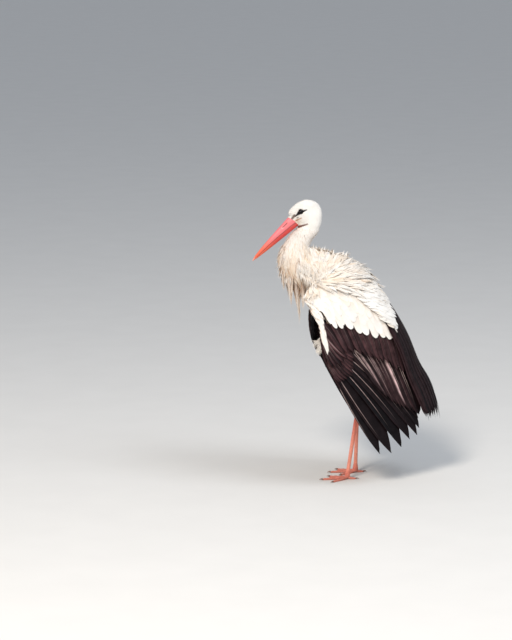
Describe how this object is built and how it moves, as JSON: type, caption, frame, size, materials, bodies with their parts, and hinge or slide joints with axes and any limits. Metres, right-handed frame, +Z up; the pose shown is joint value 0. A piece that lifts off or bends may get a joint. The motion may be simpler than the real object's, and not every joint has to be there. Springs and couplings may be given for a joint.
{
  "type": "white stork",
  "caption": "Life-size standing white stork with its neck drawn in, a long red bill and both wings drooped half open.",
  "frame": {"origin": "on the floor, below the middle of the bird's box; the body's middle plane is y = 0", "axes": "+Z up; the bird faces -X; its left side is towards -Y"},
  "size_m": [0.601, 0.4196, 0.8955],
  "materials": {
    "white_plumage": "soft matt feathers, cream-white",
    "black_plumage": "silky feathers, purple-black",
    "bill_red": "smooth horn, orange-red",
    "leg_red": "scaly skin, salmon-red",
    "eye_dark": "wet gloss",
    "claw_horn": "worn horn"
  },
  "bodies": {
    "root": {"arm_left": "white_plumage", "arm_right": "white_plumage", "beard": "white_plumage", "bill_lower": "bill_red", "bill_upper": "bill_red", "claw_hind_left": "claw_horn", "claw_hind_right": "claw_horn", "claw_inner_left": "claw_horn", "claw_inner_right": "claw_horn", "claw_middle_left": "claw_horn", "claw_middle_right": "claw_horn", "claw_outer_left": "claw_horn", "claw_outer_right": "claw_horn", "coverts_left": "white_plumage", "coverts_right": "white_plumage", "eye_left": "eye_dark", "eye_right": "eye_dark", "foot_left": "leg_red", "foot_right": "leg_red", "hand_left": "black_plumage", "hand_right": "black_plumage", "head": "white_plumage", "neck": "white_plumage", "primaries_left": "black_plumage", "primaries_right": "black_plumage", "scapulars_left": "white_plumage", "scapulars_right": "white_plumage", "secondaries_left": "black_plumage", "secondaries_right": "black_plumage", "shank_left": "leg_red", "shank_right": "leg_red", "tail": "white_plumage", "tertials_left": "black_plumage", "tertials_right": "black_plumage", "thigh_left": "white_plumage", "thigh_right": "white_plumage", "trunk": "white_plumage"}
  },
  "joints": []
}
